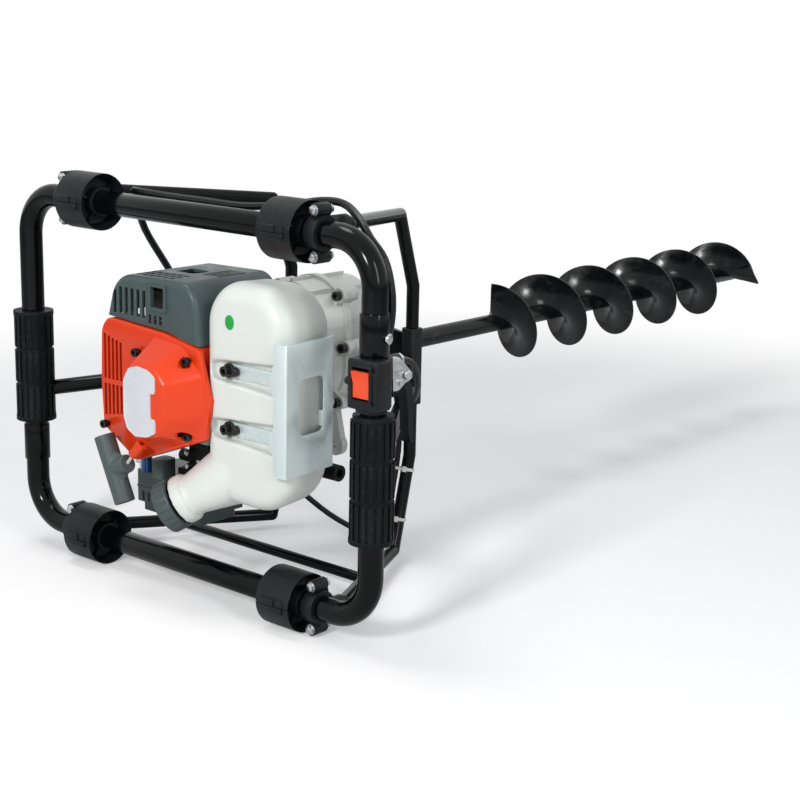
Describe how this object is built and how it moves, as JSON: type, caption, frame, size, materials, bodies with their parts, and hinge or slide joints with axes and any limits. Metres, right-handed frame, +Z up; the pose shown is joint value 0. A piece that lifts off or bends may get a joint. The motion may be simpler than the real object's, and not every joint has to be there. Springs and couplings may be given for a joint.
{
  "type": "ice fishing auger",
  "caption": "Engine-driven ice auger: power head and gearbox in a rectangular handle frame with two grips, driving a long steel helical bit.",
  "frame": {"origin": "centre of the front handle frame, midway between the axes of its four bars", "axes": "+Y along the bit, from the handle frame to the cutting end; +Z up, from the bottom bar to the top bar; +X from the left grip to the right grip"},
  "size_m": [0.55, 1.1612, 0.428],
  "materials": {
    "black_paint": "gloss black powder coat",
    "black_plastic": "satin moulded",
    "grip_rubber": "matt moulded",
    "zinc": "zinc plated",
    "zinc_sheet": "zinc plated sheet, faint blue cast",
    "black_screw": "black oxide",
    "red_plastic": "moulded",
    "orange_plastic": "gloss moulded",
    "panel_plastic": "bare panel",
    "cowl_plastic": "satin moulded, dark grey",
    "grey_plastic": "satin moulded, grey",
    "tank_plastic": "blow moulded, milky white",
    "cast_alloy": "die cast",
    "gear_steel": "oiled",
    "dark_steel": "heat-proof grey",
    "lining": "friction lining",
    "ceramic": "glazed",
    "cable_black": "sleeve",
    "tie_white": "nylon"
  },
  "bodies": {
    "frame": {"left_handle_tube": "black_paint", "right_handle_tube": "black_paint", "top_bar": "black_paint", "bottom_bar": "black_paint", "upper_left_buffer": "black_plastic", "upper_right_buffer": "black_plastic", "lower_left_buffer": "black_plastic", "lower_right_buffer": "black_plastic", "left_grip": "grip_rubber", "right_grip": "grip_rubber", "tube_collars": "black_paint", "frame_clamps": "black_plastic", "clamp_bolts": "zinc", "left_rear_tube": "black_paint", "right_rear_tube": "black_paint", "leg_pads": "black_plastic", "frame_braces": "black_paint", "gearbox_plate": "black_paint", "switch_housing": "black_plastic", "throttle_perch": "cast_alloy", "lever_pin": "zinc", "throttle_cable": "cable_black", "stop_wire": "cable_black", "cable_ties": "tie_white", "starter_cover": "orange_plastic", "cover_screws": "black_screw", "cover_panel": "panel_plastic", "crankcase": "cast_alloy", "engine_cylinder": "cast_alloy", "spark_plug": "ceramic", "plug_cap": "grip_rubber", "muffler": "dark_steel", "engine_cowl": "cowl_plastic", "carburettor": "black_plastic", "air_filter_box": "cowl_plastic", "fuel_hose": "cable_black", "fuel_tank": "tank_plastic", "tank_bracket": "zinc_sheet", "tank_screws": "black_screw", "tank_foot": "grip_rubber", "clutch_housing": "cast_alloy", "gearbox_front": "cast_alloy", "gearbox_rear": "cast_alloy", "gearbox_bolts": "black_screw"},
    "auger": {"output_gear": "gear_steel", "auger_bit": "black_paint", "bit_blade": "black_paint", "coupling_pin": "zinc"},
    "layshaft": {"layshaft": "gear_steel"},
    "drum": {"clutch_drum": "gear_steel"},
    "crank": {"crankshaft": "gear_steel", "flywheel": "cast_alloy", "clutch_shoes": "lining"},
    "pulley": {"starter_pulley": "panel_plastic"},
    "pull_handle": {"pull_handle": "grey_plastic"},
    "stop_rocker": {"stop_rocker": "red_plastic"},
    "throttle_lever": {"throttle_lever": "black_plastic"},
    "throttle_arm": {"throttle_arm": "zinc"},
    "choke_lever": {"choke_lever": "red_plastic"},
    "fuel_cap": {"fuel_cap": "grey_plastic"}
  },
  "joints": [
    {"name": "auger_spin", "type": "hinge", "parent": "frame", "child": "auger", "pos_m": [0, 0.2, 0.006], "axis": [0, 1, 0], "continuous": true},
    {"name": "layshaft_spin", "type": "hinge", "parent": "frame", "child": "layshaft", "pos_m": [0, 0.17, 0.0522], "axis": [0, 1, 0], "continuous": true},
    {"name": "drum_spin", "type": "hinge", "parent": "frame", "child": "drum", "pos_m": [0, 0.12, 0.006], "axis": [0, 1, 0], "continuous": true},
    {"name": "crank_spin", "type": "hinge", "parent": "frame", "child": "crank", "pos_m": [0, 0.03, 0.006], "axis": [0, 1, 0], "continuous": true},
    {"name": "starter_pull", "type": "slide", "parent": "frame", "child": "pull_handle", "axis": [-0.9023, 0, -0.4311], "range_m": [0, 0.6], "stiffness_N_per_m": 15, "springref_m": -0.2},
    {"name": "pulley_spin", "type": "hinge", "parent": "frame", "child": "pulley", "pos_m": [0, -0.046, 0.006], "axis": [0, 1, 0], "range_deg": [0, 1330]},
    {"name": "stop_switch", "type": "hinge", "parent": "frame", "child": "stop_rocker", "pos_m": [0.2485, -0.0156, 0.051], "axis": [1, 0, 0], "range_deg": [-12, 0]},
    {"name": "throttle_squeeze", "type": "hinge", "parent": "frame", "child": "throttle_lever", "pos_m": [0.256, 0.031, 0.057], "axis": [1, 0, 0], "range_deg": [-12, 0], "stiffness_Nm_per_rad": 0.6, "springref_deg": 20.05},
    {"name": "throttle_shaft", "type": "hinge", "parent": "frame", "child": "throttle_arm", "pos_m": [0.02, 0.031, -0.076], "axis": [1, 0, 0], "range_deg": [-31, 0]},
    {"name": "choke_turn", "type": "hinge", "parent": "frame", "child": "choke_lever", "pos_m": [-0.03, 0.04, -0.146], "axis": [0, 0, 1], "range_deg": [0, 60]},
    {"name": "cap_turn", "type": "hinge", "parent": "frame", "child": "fuel_cap", "pos_m": [0.017, -0.028, -0.106], "axis": [-0.7305, -0.4567, -0.5077], "range_deg": [0, 120]}
  ],
  "couplings": [
    {"joint": "layshaft_spin", "follows": "auger_spin", "ratio": -5},
    {"joint": "drum_spin", "follows": "auger_spin", "ratio": 25},
    {"joint": "pulley_spin", "follows": "starter_pull", "rad_per_m": 38.462},
    {"joint": "throttle_shaft", "follows": "throttle_squeeze", "ratio": 2.5}
  ]
}
